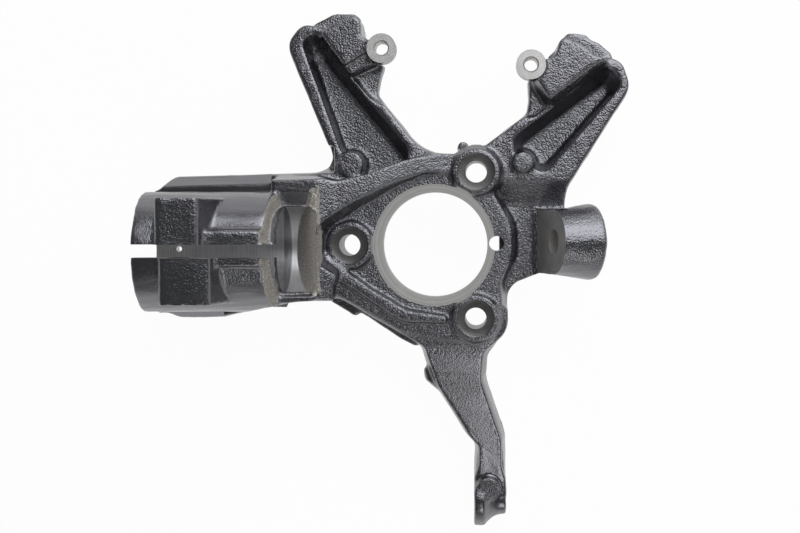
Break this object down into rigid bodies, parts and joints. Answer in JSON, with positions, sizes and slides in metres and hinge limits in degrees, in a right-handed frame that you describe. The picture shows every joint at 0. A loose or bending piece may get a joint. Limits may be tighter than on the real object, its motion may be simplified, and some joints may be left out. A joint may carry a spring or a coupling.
{
  "type": "steering knuckle",
  "caption": "Cast iron steering knuckle for a strut suspension, with a bearing seat, slit strut clamp, caliper arms, ball joint boss and steering arm.",
  "frame": {"origin": "on the wheel axis, in the plane of the bearing flange seat", "axes": "+Z inboard along the wheel axis, -X up in the car, +Y towards the brake caliper's side"},
  "size_m": [0.3219, 0.3484, 0.1248],
  "materials": {
    "casting": "black coat, half gloss, with bare machined faces"
  },
  "bodies": {
    "root": {"knuckle_casting": "casting"}
  },
  "joints": []
}
